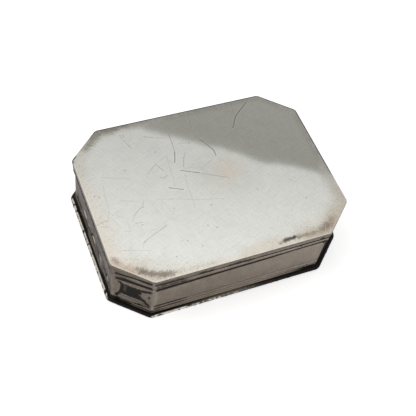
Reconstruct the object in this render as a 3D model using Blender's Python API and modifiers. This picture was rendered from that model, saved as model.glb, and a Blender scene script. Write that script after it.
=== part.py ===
"""Silver box with cut corners and a hinged lid, lying on its lid as it is kept on a table.

Metres, +Z up. The lid's outer face rests on z = 0 and the base plate is on top. X runs along the
box, -Y is the front (the side that opens) and the hinge lies along X at the back.
"""

from math import acos, asin, cos, degrees, pi, radians, sin, sqrt, tan

import bmesh
import bpy
from mathutils import Vector

mm = 0.001

# Overall plan, measured at the edge of the base plate
base_length = 82.4 * mm
base_depth = 61.8 * mm
cut_along_length = 11.0 * mm
cut_along_depth = 10.1 * mm
overall_height = 22.0 * mm

# Clearances and small edges
solder_gap = 0.02 * mm
running_gap = 0.1 * mm
seat_gap = 0.1 * mm
edge_ease = 0.18 * mm
overrun = 1.0 * mm
smallest_radius = 0.15 * mm

# Walls
wall_thickness = 0.8 * mm
wall_corner_radius = 1.2 * mm
shadow_groove_width = 0.6 * mm
shadow_groove_depth = 0.25 * mm
shadow_groove_drop = 0.35 * mm
fine_line_width = 0.32 * mm
fine_line_depth = 0.12 * mm
fine_line_spacing = 1.55 * mm
lower_line_height = 1.35 * mm

# Base plate and the moulding under its edge
plate_overhang = 0.9 * mm
plate_thickness = 1.1 * mm
plate_edge_radius = 0.45 * mm
band_height = 1.95 * mm
band_proud = 0.72 * mm
quirk_height = 0.35 * mm
quirk_proud = 0.3 * mm
bead_height = 2.03 * mm
bead_proud = 0.62 * mm
foot_height = 0.4 * mm

# Lid
lid_overhang = 1.68 * mm
lid_sheet_thickness = 0.7 * mm
lid_sheet_overhang = 1.3 * mm
border_thickness = 0.78 * mm
border_width = 5.2 * mm
roll_height = 1.15 * mm
roll_depth = 0.34 * mm
land_width = 0.6 * mm
cove_width = 1.9 * mm
cove_rise = 0.42 * mm
inner_bead_width = 0.9 * mm
inner_bead_rise = 0.15 * mm
bezel_thickness = 0.6 * mm
bezel_height = 1.8 * mm
bezel_clearance = 0.12 * mm
bezel_setback = 1.5 * mm

# Hinge: tubes on a pin behind the back wall, in hollowed strips
knuckle_count = 9
knuckle_pitch = 6.0 * mm
knuckle_radius = 0.9 * mm
knuckle_bore_radius = 0.55 * mm
knuckle_edge = 0.07 * mm
pin_radius = 0.48 * mm
plug_head_thickness = 0.3 * mm
plug_head_dome = 0.12 * mm
plug_shank_radius = 0.51 * mm
plug_shank_length = 0.8 * mm
bearer_floor = 0.3 * mm
body_bearer_inset = 1.3 * mm
body_bearer_rise = 1.2 * mm
notch_headroom = 0.3 * mm
lid_bearer_reach = 1.3 * mm
lid_bearer_back = 0.7 * mm
lid_bearer_toe = 0.16 * mm
opening_angle = radians(95.0)
stop_clearance = 0.03 * mm

corner_steps = 4
bead_steps = 8
round_steps = 32
pin_steps = 24
trough_steps = 14

# Heights that follow from the sizes above
border_top = border_thickness
sheet_under = border_top + solder_gap
sheet_top = sheet_under + lid_sheet_thickness
wall_mouth = sheet_top + seat_gap
plate_under = overall_height - plate_thickness
wall_top = plate_under - solder_gap
moulding_top = plate_under - solder_gap
band_bottom = moulding_top - band_height
quirk_bottom = band_bottom - quirk_height
bead_bottom = quirk_bottom - bead_height
moulding_bottom = bead_bottom - foot_height

# The hinge axis lies in the plane of the back wall
back_plane = base_depth / 2 - plate_overhang
trough_radius = knuckle_radius + running_gap
axis_height = sheet_top + solder_gap + bearer_floor + trough_radius
axis_point = Vector((0.0, back_plane, axis_height))
hinge_length = knuckle_count * knuckle_pitch
knuckle_length = knuckle_pitch - running_gap
notch_half_length = hinge_length / 2 + plug_head_thickness + running_gap
notch_top = axis_height + trough_radius + notch_headroom

colours = {
    "plain silver": ((0.72, 0.73, 0.70), 0.24),
    "worn silver": ((0.62, 0.61, 0.58), 0.30),
    "darkened silver": ((0.42, 0.39, 0.36), 0.34),
    "gilt silver": ((0.80, 0.62, 0.32), 0.28),
    "hinge silver": ((0.55, 0.53, 0.50), 0.32),
}


def clear_scene():
    for old in list(bpy.data.objects):
        bpy.data.objects.remove(old, do_unlink=True)


def new_collection(name, cutters=False):
    collection = bpy.data.collections.new(name)
    bpy.context.scene.collection.children.link(collection)
    collection.hide_render = cutters
    return collection


def metal(name):
    material = bpy.data.materials.get(name)
    if material:
        return material
    colour, roughness = colours[name]
    material = bpy.data.materials.new(name)
    material.use_nodes = True
    shader = material.node_tree.nodes["Principled BSDF"]
    shader.inputs["Base Color"].default_value = (*colour, 1.0)
    shader.inputs["Metallic"].default_value = 1.0
    shader.inputs["Roughness"].default_value = roughness
    material.diffuse_color = (*colour, 1.0)
    return material


def add_object(name, mesh, finish, parent):
    part = bpy.data.objects.new(name, mesh)
    part.data.materials.append(metal(finish))
    parts.objects.link(part)
    part.parent = parent
    part.matrix_parent_inverse = parent.matrix_world.inverted()
    return part


def arc(centre, radii, start, end, steps):
    """Points of an elliptical arc, with angles in degrees from the outward direction to up."""
    angles = [radians(start + (end - start) * i / steps) for i in range(steps + 1)]
    return [(centre[0] + radii[0] * cos(a), centre[1] + radii[1] * sin(a)) for a in angles]


def plan_corners(proud):
    """The eight corners of the plan, counterclockwise, at this offset outwards from the wall."""
    inset = plate_overhang - proud
    x = base_length / 2
    y = base_depth / 2
    slant = sqrt(cut_along_length**2 + cut_along_depth**2)
    normal = Vector((cut_along_depth, cut_along_length)) / slant
    reach = normal.dot(Vector((x - cut_along_length, y))) - inset
    x -= inset
    y -= inset
    on_long = (reach - normal.y * y) / normal.x
    on_short = (reach - normal.x * x) / normal.y
    quarter = [Vector((x, on_short)), Vector((on_long, y))]
    corners = list(quarter)
    corners += [Vector((-p.x, p.y)) for p in reversed(quarter)]
    corners += [Vector((-p.x, -p.y)) for p in quarter]
    corners += [Vector((p.x, -p.y)) for p in reversed(quarter)]
    return corners


def plan_outline(proud):
    """The plan at this offset from the wall, with each corner an arc about the bend's own centre."""
    radius = max(wall_corner_radius + proud, smallest_radius)
    corners = plan_corners(proud)
    points = []
    for i, corner in enumerate(corners):
        towards_last = (corners[i - 1] - corner).normalized()
        towards_next = (corners[(i + 1) % len(corners)] - corner).normalized()
        half = towards_last.angle(towards_next) / 2
        centre = corner + (towards_last + towards_next).normalized() * (radius / sin(half))
        first = corner + towards_last * (radius / tan(half)) - centre
        turn = pi - 2 * half
        for step in range(corner_steps + 1):
            a = turn * step / corner_steps
            points.append(centre + Vector((first.x * cos(a) - first.y * sin(a),
                                           first.x * sin(a) + first.y * cos(a))))
    return points


def loft_round_plan(bm, section, closed):
    """Lofts a section, as points (proud of the wall, height), all the way round the plan."""
    rings = [[bm.verts.new((p.x, p.y, height)) for p in plan_outline(proud)]
             for proud, height in section]
    for i in range(0 if closed else 1, len(rings)):
        last, this = rings[i - 1], rings[i]
        for j in range(len(this)):
            bm.faces.new((last[j - 1], last[j], this[j], this[j - 1]))
    return rings


def finish_mesh(bm, name):
    bmesh.ops.recalc_face_normals(bm, faces=bm.faces[:])
    mesh = bpy.data.meshes.new(name)
    bm.to_mesh(mesh)
    bm.free()
    mesh.shade_smooth()
    mesh.set_sharp_from_angle(angle=radians(35))
    return mesh


def moulded_ring(name, section):
    """A strip that runs round the box, with this closed section."""
    bm = bmesh.new()
    loft_round_plan(bm, section, closed=True)
    return finish_mesh(bm, name)


def sheet(name, section):
    """A flat plate in the plan's shape: its edge section from top to bottom, closed by two flat faces."""
    bm = bmesh.new()
    rings = loft_round_plan(bm, section, closed=False)
    bm.faces.new(rings[0])
    bm.faces.new(rings[-1])
    return finish_mesh(bm, name)


def box_cutter(name, low, high):
    bm = bmesh.new()
    bmesh.ops.create_cube(bm, size=1.0)
    size = [b - a for a, b in zip(low, high)]
    bmesh.ops.scale(bm, vec=size, verts=bm.verts)
    mesh = bpy.data.meshes.new(name)
    bm.to_mesh(mesh)
    bm.free()
    cutter = bpy.data.objects.new(name, mesh)
    cutter.location = [(a + b) / 2 for a, b in zip(low, high)]
    cutter.hide_render = True
    cutter.display_type = "WIRE"
    cutters.objects.link(cutter)
    return cutter


def cut(part, cutter):
    modifier = part.modifiers.new(cutter.name, "BOOLEAN")
    modifier.operation = "DIFFERENCE"
    modifier.solver = "EXACT"
    modifier.object = cutter


def strip_along_x(name, outline, length, finish, parent):
    """A drawn strip: its outline in the (y, z) plane, run along X as an extruded flat curve."""
    curve = bpy.data.curves.new(name, "CURVE")
    curve.dimensions = "2D"
    curve.fill_mode = "BOTH"
    curve.extrude = length / 2
    spline = curve.splines.new("POLY")
    spline.points.add(len(outline) - 1)
    for point, (y, z) in zip(spline.points, outline):
        point.co = (y, z, 0.0, 1.0)
    spline.use_cyclic_u = True
    strip = add_object(name, curve, finish, parent)
    # The curve's own X and Y become the world's Y and Z, and its thickness runs along X.
    strip.rotation_euler = (pi / 2, 0.0, pi / 2)
    return strip


def turned_on_axis(name, profile, steps, x_centre, finish, parent):
    """A turned piece on the hinge axis: profile points (radius, place along X), outer side first."""
    bm = bmesh.new()
    vertices = [bm.verts.new((radius, 0.0, along)) for radius, along in profile]
    closed = min(radius for radius, _ in profile) > 0
    for i in range(0 if closed else 1, len(vertices)):
        bm.edges.new((vertices[i - 1], vertices[i]))
    mesh = bpy.data.meshes.new(name)
    bm.to_mesh(mesh)
    bm.free()
    piece = add_object(name, mesh, finish, parent)
    screw = piece.modifiers.new("turn", "SCREW")
    screw.axis = "Z"
    screw.angle = 2 * pi
    screw.steps = steps
    screw.render_steps = steps
    screw.use_merge_vertices = True
    screw.merge_threshold = smallest_radius / 100
    screw.use_smooth_shade = True
    piece.rotation_euler = (0.0, pi / 2, 0.0)
    piece.location = (x_centre, back_plane, axis_height)
    return piece


def make_base_plate(parent):
    top = overall_height
    rounded = arc((plate_overhang - plate_edge_radius, top - plate_edge_radius),
                  (plate_edge_radius, plate_edge_radius), 90, 0, 4)
    lower = arc((plate_overhang - edge_ease, plate_under + edge_ease),
                (edge_ease, edge_ease), 0, -90, 2)
    add_object("base_plate", sheet("base_plate", rounded + lower), "plain silver", parent)


def make_base_moulding(parent):
    band = arc((band_proud - edge_ease, moulding_top - edge_ease), (edge_ease, edge_ease), 90, 0, 2)
    band += arc((band_proud - edge_ease, band_bottom + edge_ease), (edge_ease, edge_ease), 0, -90, 2)
    bead_middle = (quirk_bottom + bead_bottom) / 2
    bead = arc((quirk_proud, bead_middle), (bead_proud - quirk_proud, bead_height / 2),
               90, -90, bead_steps)
    section = [(solder_gap, moulding_top)] + band + [(quirk_proud, band_bottom)]
    section += bead + [(solder_gap, moulding_bottom)]
    add_object("base_moulding", moulded_ring("base_moulding", section), "worn silver", parent)


def v_line(height, width, depth):
    """A line cut into the wall's face, from its upper edge to its lower edge."""
    return [(0.0, height + width / 2), (-depth, height), (0.0, height - width / 2)]


def make_wall_band(parent):
    groove_top = moulding_bottom - shadow_groove_drop
    groove_floor = shadow_groove_width / 4
    groove = [(0.0, groove_top), (-shadow_groove_depth, groove_top - groove_floor),
              (-shadow_groove_depth, groove_top - shadow_groove_width + groove_floor),
              (0.0, groove_top - shadow_groove_width)]
    lower_line = wall_mouth + lower_line_height
    lines = v_line(lower_line + fine_line_spacing, fine_line_width, fine_line_depth)
    lines += v_line(lower_line, fine_line_width, fine_line_depth)
    mouth = [(0.0, wall_mouth + edge_ease), (-edge_ease, wall_mouth),
             (-wall_thickness + edge_ease, wall_mouth), (-wall_thickness, wall_mouth + edge_ease)]
    section = [(0.0, wall_top)] + groove + lines + mouth + [(-wall_thickness, wall_top)]
    wall = add_object("wall_band", moulded_ring("wall_band", section), "darkened silver", parent)
    low = (-notch_half_length, back_plane - wall_thickness - overrun, wall_mouth - overrun)
    high = (notch_half_length, back_plane + overrun, notch_top)
    cut(wall, box_cutter("hinge_notch", low, high))


def make_lid_plate(parent):
    edge = arc((lid_sheet_overhang - edge_ease, sheet_top - edge_ease), (edge_ease, edge_ease), 90, 0, 3)
    edge += arc((lid_sheet_overhang - edge_ease, sheet_under + edge_ease),
                (edge_ease, edge_ease), 0, -90, 2)
    add_object("lid_plate", sheet("lid_plate", edge), "worn silver", parent)


def make_lid_border(parent):
    """The cast frame: a rolled edge that stands round the sheet, a land, a cove and an inner bead."""
    inner = lid_overhang - border_width
    rebate = lid_sheet_overhang + solder_gap
    roll_centre = lid_overhang - roll_depth
    roll = arc((roll_centre, roll_height / 2), (roll_depth, roll_height / 2), 90, -90, bead_steps)
    land = roll_centre - land_width
    cove = arc((land - cove_width / 2, 0.0), (cove_width / 2, cove_rise), 0, 180, bead_steps)
    bead_start = land - cove_width
    bead = arc((bead_start - inner_bead_width / 2, inner_bead_rise),
               (inner_bead_width / 2, inner_bead_rise), 0, -180, bead_steps // 2)
    section = [(inner, border_top), (rebate, border_top), (rebate, roll_height)]
    section += roll + cove[:-1] + bead + [(inner, inner_bead_rise)]
    add_object("lid_border", moulded_ring("lid_border", section), "worn silver", parent)


def make_lid_bezel(parent):
    """The upstand that enters the box's mouth, left open at the back where the hinge works."""
    outer = -wall_thickness - bezel_clearance
    inner = outer - bezel_thickness
    foot = sheet_top + solder_gap
    top = foot + bezel_height
    section = [(outer, foot), (inner, foot), (inner, top - edge_ease), (inner + edge_ease, top),
               (outer - edge_ease, top), (outer, top - edge_ease)]
    bezel = add_object("lid_bezel", moulded_ring("lid_bezel", section), "gilt silver", parent)
    end = base_depth / 2 - cut_along_depth - bezel_setback
    half_length = base_length / 2 + overrun
    low = (-half_length, end, foot - overrun)
    high = (half_length, base_depth / 2 + overrun, top + overrun)
    cut(bezel, box_cutter("bezel_back", low, high))


def trough(start, end):
    """The hollow that the tubes turn in, between two angles in degrees round the hinge axis."""
    return arc((back_plane, axis_height), (trough_radius, trough_radius), start, end, trough_steps)


def make_body_bearer(parent):
    """The strip behind the tubes: it fills the notch above them and lies against the wall inside."""
    face = back_plane - wall_thickness - solder_gap
    inner_face = face - body_bearer_inset
    face_angle = 360 - degrees(acos((face - back_plane) / trough_radius))
    lip = notch_top - solder_gap
    top = notch_top + body_bearer_rise
    chamfer = body_bearer_inset / 2
    outline = [(inner_face, wall_mouth), (face, wall_mouth)] + trough(face_angle, 90)
    outline += [(back_plane, lip), (face, lip), (face, top), (face - chamfer, top),
                (inner_face, top - chamfer)]
    strip_along_x("body_bearer", outline, 2 * (notch_half_length - solder_gap), "gilt silver", parent)


def make_lid_bearer(parent):
    """The cradle on the lid. Its lip meets the back of the box when that stands open, and stops it."""
    foot = sheet_top + solder_gap
    outer_face = back_plane + lid_bearer_reach
    inner_face = back_plane - lid_bearer_back
    lip = axis_height - lid_bearer_reach * tan(opening_angle - pi / 2) - stop_clearance
    toe = foot + bearer_floor + lid_bearer_toe
    lip_angle = degrees(asin((lip - axis_height) / trough_radius))
    toe_angle = -180 - degrees(asin((toe - axis_height) / trough_radius))
    outline = [(inner_face, foot), (outer_face, foot), (outer_face, lip)]
    outline += trough(lip_angle, toe_angle) + [(inner_face, toe)]
    strip_along_x("lid_bearer", outline, 2 * (notch_half_length - running_gap), "worn silver", parent)


def make_knuckles(box, lid):
    half = knuckle_length / 2
    profile = [(knuckle_radius - knuckle_edge, half), (knuckle_radius, half - knuckle_edge),
               (knuckle_radius, knuckle_edge - half), (knuckle_radius - knuckle_edge, -half),
               (knuckle_bore_radius, -half), (knuckle_bore_radius, half)]
    for i in range(knuckle_count):
        on_box = i % 2 == 0
        x_centre = (i - (knuckle_count - 1) / 2) * knuckle_pitch
        name = f"{'box' if on_box else 'lid'}_knuckle_{i // 2 + 1}"
        turned_on_axis(name, profile, round_steps, x_centre, "hinge silver", box if on_box else lid)


def make_pin_and_plugs(parent):
    shank_start = hinge_length / 2 - running_gap / 2
    half = shank_start - plug_shank_length - running_gap
    ease = knuckle_edge
    pin = [(0.0, half), (pin_radius - ease, half), (pin_radius, half - ease),
           (pin_radius, ease - half), (pin_radius - ease, -half), (0.0, -half)]
    turned_on_axis("hinge_pin", pin, pin_steps, 0.0, "hinge silver", parent)
    foot = solder_gap
    face = foot + plug_head_thickness - plug_head_dome
    dome = arc((0.0, face), (knuckle_radius, plug_head_dome), 90, 0, 4)
    plug = dome + [(knuckle_radius, foot), (plug_shank_radius, foot),
                   (plug_shank_radius, foot - plug_shank_length), (0.0, foot - plug_shank_length)]
    plug[0] = (0.0, plug[0][1])
    right = turned_on_axis("pin_plug_right", plug, pin_steps, shank_start, "hinge silver", parent)
    left = turned_on_axis("pin_plug_left", plug, pin_steps, -shank_start, "hinge silver", parent)
    right.rotation_euler = (0.0, pi / 2, 0.0)
    left.rotation_euler = (0.0, -pi / 2, 0.0)


clear_scene()
parts = new_collection("silver_box")
cutters = new_collection("cutters", cutters=True)

lid = bpy.data.objects.new("lid", None)
parts.objects.link(lid)
box = bpy.data.objects.new("box", None)
box.location = axis_point
parts.objects.link(box)
box.parent = lid
bpy.context.view_layer.update()

make_base_plate(box)
make_base_moulding(box)
make_wall_band(box)
make_body_bearer(box)
make_lid_plate(lid)
make_lid_border(lid)
make_lid_bezel(lid)
make_lid_bearer(lid)
make_knuckles(box, lid)
make_pin_and_plugs(box)
bpy.context.view_layer.update()
print("base plate", round(base_length / mm, 1), "x", round(base_depth / mm, 1), "mm")
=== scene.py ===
import functools
import math

import bpy
from mathutils import Matrix, Vector


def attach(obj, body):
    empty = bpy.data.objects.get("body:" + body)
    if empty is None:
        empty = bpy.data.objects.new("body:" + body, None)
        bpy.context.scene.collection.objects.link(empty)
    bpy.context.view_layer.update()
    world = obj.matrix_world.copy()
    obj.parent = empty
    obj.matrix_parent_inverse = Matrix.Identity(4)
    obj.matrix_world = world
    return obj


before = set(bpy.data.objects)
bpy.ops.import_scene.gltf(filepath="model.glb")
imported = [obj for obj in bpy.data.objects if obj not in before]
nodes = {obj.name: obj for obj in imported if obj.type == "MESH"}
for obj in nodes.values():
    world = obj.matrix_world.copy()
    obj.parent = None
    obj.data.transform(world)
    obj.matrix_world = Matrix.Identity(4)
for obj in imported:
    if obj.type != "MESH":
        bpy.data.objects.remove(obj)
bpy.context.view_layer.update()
mm = 0.001
print("frame loaded:", len(nodes), "nodes")

# Plan of the box in millimetres: its eight sides at the walls' outer face
plan = {
    "across": 40.3,  # half the length
    "deep": 30.0,  # half the depth
    "cut": 42.285,  # from the middle out to a cut corner
    "cutAcross": 0.6763, "cutDeep": 0.7366,  # the way a cut corner faces
    "cutStart": 20.4,  # where a cut corner leaves the short wall
    "cutLength": 14.2,
    "top": 22.0,
    # shares of one turn round the box, counted from the left wall over the front
    "left": (0.066, 0.078), "leftAgain": (0.922, 0.934), "cant": (0.0744, 0.127), "front": (0.127, 0.373),
}


# Small tools for node trees: a link is one output, and sums of links add their own Math nodes
class Link:
    def __init__(self, bench, socket):
        self.bench, self.socket = bench, socket

    def maths(self, operation, *values):
        return self.bench.add("ShaderNodeMath", {"operation": operation}, values)

    def __add__(self, other):
        return self.maths("ADD", self, other)

    def __radd__(self, other):
        return self.maths("ADD", other, self)

    def __sub__(self, other):
        return self.maths("SUBTRACT", self, other)

    def __rsub__(self, other):
        return self.maths("SUBTRACT", other, self)

    def __mul__(self, other):
        return self.maths("MULTIPLY", self, other)

    def __rmul__(self, other):
        return self.maths("MULTIPLY", other, self)

    def __truediv__(self, other):
        return self.maths("DIVIDE", self, other)

    def __rtruediv__(self, other):
        return self.maths("DIVIDE", other, self)

    def __neg__(self):
        return self.maths("MULTIPLY", self, -1.0)

    def __abs__(self):
        return self.maths("ABSOLUTE", self)

    def top(self, other):
        return self.maths("MAXIMUM", self, other)

    def least(self, other):
        return self.maths("MINIMUM", self, other)

    def rise(self, low, high):  # 0 at low, 1 at high, smooth between
        return self.bench.add(
            "ShaderNodeMapRange",
            {"interpolation_type": "SMOOTHSTEP"},
            {"Value": self, "From Min": low, "From Max": high},
        )

    def fall(self, low, high):  # 1 at low, 0 at high
        return self.rise(high, low)

    def band(self, low, high, soft):  # 1 between low and high
        return self.rise(low - soft, low + soft) * self.fall(high - soft, high + soft)


def strongest(links):
    return functools.reduce(Link.top, links)


def smallest(links):
    return functools.reduce(Link.least, links)


def sway(noises, amounts):  # mm that an edge wanders: noises weighed, each centred on zero
    return functools.reduce(Link.__add__, [(noise - 0.5) * amount for noise, amount in zip(noises, amounts)])


def setStops(ramp, stops):
    while len(ramp.elements) < len(stops):
        ramp.elements.new(0.5)
    for element, (place, tone) in zip(ramp.elements, stops):
        element.position = place
        element.color = tone if isinstance(tone, tuple) else (tone, tone, tone, 1.0)


def setCurve(mapping, points):
    curve = mapping.curves[0]
    while len(curve.points) < len(points):
        curve.points.new(0.5, 0.5)
    for point, place in zip(curve.points, points):
        point.location = place
    mapping.update()


class Bench:
    def __init__(self, tree):
        self.tree = tree
        tree.nodes.clear()

    def add(self, kind, settings=None, values=(), out=0):
        node = self.tree.nodes.new(kind)
        for key, value in (settings or {}).items():
            if key == "stops":
                setStops(node.color_ramp, value)
            elif key == "curve":
                setCurve(node.mapping, value)
            else:
                setattr(node, key, value)
        ports = [port for port in node.inputs if port.enabled]
        given = values.items() if isinstance(values, dict) else enumerate(values)
        for key, value in given:
            port = ports[key] if isinstance(key, int) else next(p for p in ports if p.name == key)
            if isinstance(value, Link):
                self.tree.links.new(value.socket, port)
            else:
                port.default_value = value
        outs = [port for port in node.outputs if port.enabled]
        if not outs:
            return node
        return Link(self, outs[out] if isinstance(out, int) else next(p for p in outs if p.name == out))

    def mix(self, share, first, second, blend="MIX"):
        return self.add(
            "ShaderNodeMix",
            {"data_type": "RGBA", "blend_type": blend},
            {"Factor": share, "A": first, "B": second},
        )

    def vector(self, operation, first, second=None, out="Vector", **more):
        values = {0: first} if second is None else {0: first, 1: second}
        node = self.add("ShaderNodeVectorMath", {"operation": operation}, values, out=out)
        for name, value in more.items():
            port = node.socket.node.inputs[name]
            if isinstance(value, Link):
                self.tree.links.new(value.socket, port)
            else:
                port.default_value = value
        return node

    def spot(self):  # place on the piece, in millimetres
        return self.vector("SCALE", self.add("ShaderNodeTexCoord", out="Object"), Scale=1000.0)

    def split(self, vector):
        first = self.add("ShaderNodeSeparateXYZ", None, [vector])
        return [Link(self, port) for port in first.socket.node.outputs]

    def place(self, x, y, z=0.0):
        return self.add("ShaderNodeCombineXYZ", None, (x, y, z))

    def noise(self, spot, size, detail, roughness):  # size of the blots in mm
        return self.add(
            "ShaderNodeTexNoise", None,
            {"Vector": spot, "Scale": 1.0 / size, "Detail": detail, "Roughness": roughness},
        )

    def pulled(self, spot, stretch, *kind):  # noise drawn out along the box's own directions
        return self.noise(self.vector("MULTIPLY", spot, stretch), *kind)

    def drawn(self, spot, angle, length, width, detail=1.0):  # noise pulled out along one direction
        laid = self.add(
            "ShaderNodeMapping",
            {"vector_type": "TEXTURE"},
            {"Vector": spot, "Location": (angle * 37.0, angle * 11.0, 0.0),
             "Rotation": (0.0, 0.0, math.radians(angle)), "Scale": (length, width, 1.0)},
        )
        return self.noise(laid, 1.0, detail, 0.4)

    def streaks(self, spot, rows):  # thin broken lines: angle, length, width, share of the face left plain
        return strongest(
            self.drawn(spot, angle, length, width).rise(plain, plain + 0.05) for angle, length, width, plain in rows
        )

    def grey(self, tone):
        return self.add("ShaderNodeCombineColor", None, (tone, tone, tone))

    def shaded(self, colour, shade):
        return self.mix(1.0, colour, self.grey(shade), "MULTIPLY")

    def marked(self, flat, marks, wobble):  # strongest of several marks: path, half width, soft edge
        return strongest((self.gapTo(flat, path) + wobble).fall(half, half + soft) for path, half, soft in marks)

    def ramp(self, value, stops):
        return self.add("ShaderNodeValToRGB", {"stops": stops}, [value])

    def gapTo(self, flat, points):  # mm from the nearest point of a line through the points
        if len(points) == 1:
            return self.vector("DISTANCE", flat, (*points[0], 0.0), out="Value")
        gaps = []
        for (ax, ay), (bx, by) in zip(points, points[1:]):
            run = Vector((bx - ax, by - ay, 0.0))
            start = self.vector("SUBTRACT", flat, (ax, ay, 0.0))
            along = self.vector("DOT_PRODUCT", start, tuple(run / run.length_squared), out="Value")
            foot = self.vector("SCALE", tuple(run), Scale=along.top(0.0).least(1.0))
            gaps.append(self.vector("DISTANCE", start, foot, out="Value"))
        return smallest(gaps)

    def gapToAll(self, flat, lines):
        return smallest(self.gapTo(flat, line) for line in lines)

    def edgeGap(self, x, y, proud):  # mm outside the eight-sided walls moved out by proud
        across, deep = abs(x), abs(y)
        cut = across * plan["cutAcross"] + deep * plan["cutDeep"] - (plan["cut"] + proud)
        return (across - (plan["across"] + proud)).top(deep - (plan["deep"] + proud)).top(cut)

    def turn(self, x, y):  # 0 to 1 round the box: left 0, front 0.25, right 0.5, back 0.75
        return y.maths("ARCTAN2", y, x) * (0.5 / math.pi) + 0.5

    def leftWall(self, turn):  # the count of the turn begins and ends there
        return turn.fall(*plan["left"]).top(turn.rise(*plan["leftAgain"]))

    def metal(self, colour, roughness, metallic, height=None, depth=0.02, sideways=1.0):
        values = {"Base Color": colour, "Roughness": roughness, "Metallic": metallic}
        values["Specular Tint"] = (sideways, sideways, sideways, 1.0)  # brightness mirrored at a flat angle
        if height is not None:
            values["Normal"] = self.add(
                "ShaderNodeBump", None, {"Strength": 1.0, "Distance": depth * mm, "Height": height}
            )
        shader = self.add("ShaderNodeBsdfPrincipled", None, values)
        self.add("ShaderNodeOutputMaterial", None, {"Surface": shader})


def newFinish(name):
    material = bpy.data.materials.new(name)
    material.use_nodes = True
    return material, Bench(material.node_tree)


def dress(material, *names):
    for name in names:
        for slot in nodes[name].material_slots:
            slot.material = material


# Camera: where the photographer stood, found from the eight corners of the plate
view = {
    "place": (-82.7903, -139.0364, 236.3325),
    "azimuth": -31.125,
    "elevation": 54.871,
    "roll": 11.796,
    "lens": 70.32,
    "sensor": 36.0,
    "nearest": 0.01,
}


def makeCamera(view):
    azimuth, elevation, roll = (math.radians(view[key]) for key in ("azimuth", "elevation", "roll"))
    flatShare = math.cos(elevation)
    back = Vector((math.sin(azimuth) * flatShare, -math.cos(azimuth) * flatShare, math.sin(elevation)))
    level = Vector((math.cos(azimuth), math.sin(azimuth), 0.0))
    rise = back.cross(level)
    right = level * math.cos(roll) + rise * math.sin(roll)
    up = back.cross(right)
    data = bpy.data.cameras.new("photographer")
    data.lens, data.sensor_width, data.clip_start = view["lens"], view["sensor"], view["nearest"]
    camera = bpy.data.objects.new("photographer", data)
    turned = Matrix((right, up, back)).transposed().to_4x4()
    camera.matrix_world = Matrix.Translation(Vector(view["place"]) * mm) @ turned
    bpy.context.collection.objects.link(camera)
    bpy.context.scene.camera = camera


makeCamera(view)
bpy.context.scene.view_settings.view_transform = "Standard"
print("camera placed")


# Studio: white table and room, one soft lamp, and a card over the box that its bright plate mirrors
studio = {
    "roomLight": 0.72,
    "lampFrom": (-0.30, 0.18, 0.60),
    "lampSize": 0.45,
    "lampPower": 1.2,
    "tableTone": 0.80,
    "tableGlow": 0.52,
    "tableHalf": 2.5,
    "cardHeight": 100.0,  # mm over the plate
    "cardCorners": ((-0.16, -0.12), (0.24, 0.26)),
    "cardDark": [  # tones of the dark area, from the border outwards
        (0.0, (0.350, 0.346, 0.330, 1.0)), (0.5, (0.375, 0.368, 0.350, 1.0)), (1.0, (0.398, 0.390, 0.371, 1.0)),
    ],
    "cardDarkSpan": (5.0, 30.0),
    "cardRidge": (0.05, 0.06),  # a brighter strip along the border, stronger at the left
    "cardRidgePlace": (-4.2, -1.0),
    "cardRidgeFade": (-10.0, 8.0),
    "cardSoft": (1.1, 0.25),  # the border is softer at the left
    "cardSoftFade": (-20.0, 12.0),
    "cardShift": 0.35,
    "cardSteepness": 0.8,
    "cardTilt": (0.011, 0.0011, 0.0013),  # a slow fall in brightness: at the middle, per mm across and back
    "cardUp": (0.294, 0.956),  # the picture's upward way on the plate
    "cardReach": 45.0,
    "cardLight": [(-40, 0.98), (-29, 0.968), (-22, 0.922), (-10.6, 0.860), (1.7, 0.790), (14, 0.734), (30, 0.70)],
    "cardFrame": (35.0, 45.0, 95.0),  # the curve's room: mm to the left, to the front, and its size
    # where the mirrored light ends, in mm on the plate
    "cardEdge": [(-30, 44.5), (-22, 36.8), (-14.9, 28.2), (-12.9, 26.1), (-10.4, 24.7), (-8.2, 22.9), (-5.8, 21.6),
                 (-3.5, 20.1), (-1.2, 18.5), (1.1, 17.0), (3.3, 15.3), (5.9, 13.6), (8.4, 12.4), (10.7, 10.5),
                 (13.0, 8.8), (15.2, 6.8), (17.4, 4.8), (19.5, 2.7), (22.0, 1.3), (24.7, 0.5), (27.2, -0.9),
                 (29.8, -2.2), (32.1, -3.9), (34.5, -5.6), (36.8, -7.5), (38.7, -10.1), (41.0, -14.5), (46, -24),
                 (54, -40)],
}


def plane(name, corners, height):
    (left, front), (right, back) = corners
    mesh = bpy.data.meshes.new(name)
    places = [(left, front, height), (right, front, height), (right, back, height), (left, back, height)]
    mesh.from_pydata(places, [], [(0, 1, 2, 3)])
    made = bpy.data.objects.new(name, mesh)
    bpy.context.collection.objects.link(made)
    return made


def seenRays(bench):  # 1 for what the camera, mirrors and glass see
    path = bench.add("ShaderNodeLightPath", out="Is Camera Ray")
    outs = path.socket.node.outputs
    return path.top(Link(bench, outs["Is Glossy Ray"])).top(Link(bench, outs["Is Transmission Ray"]))


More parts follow.
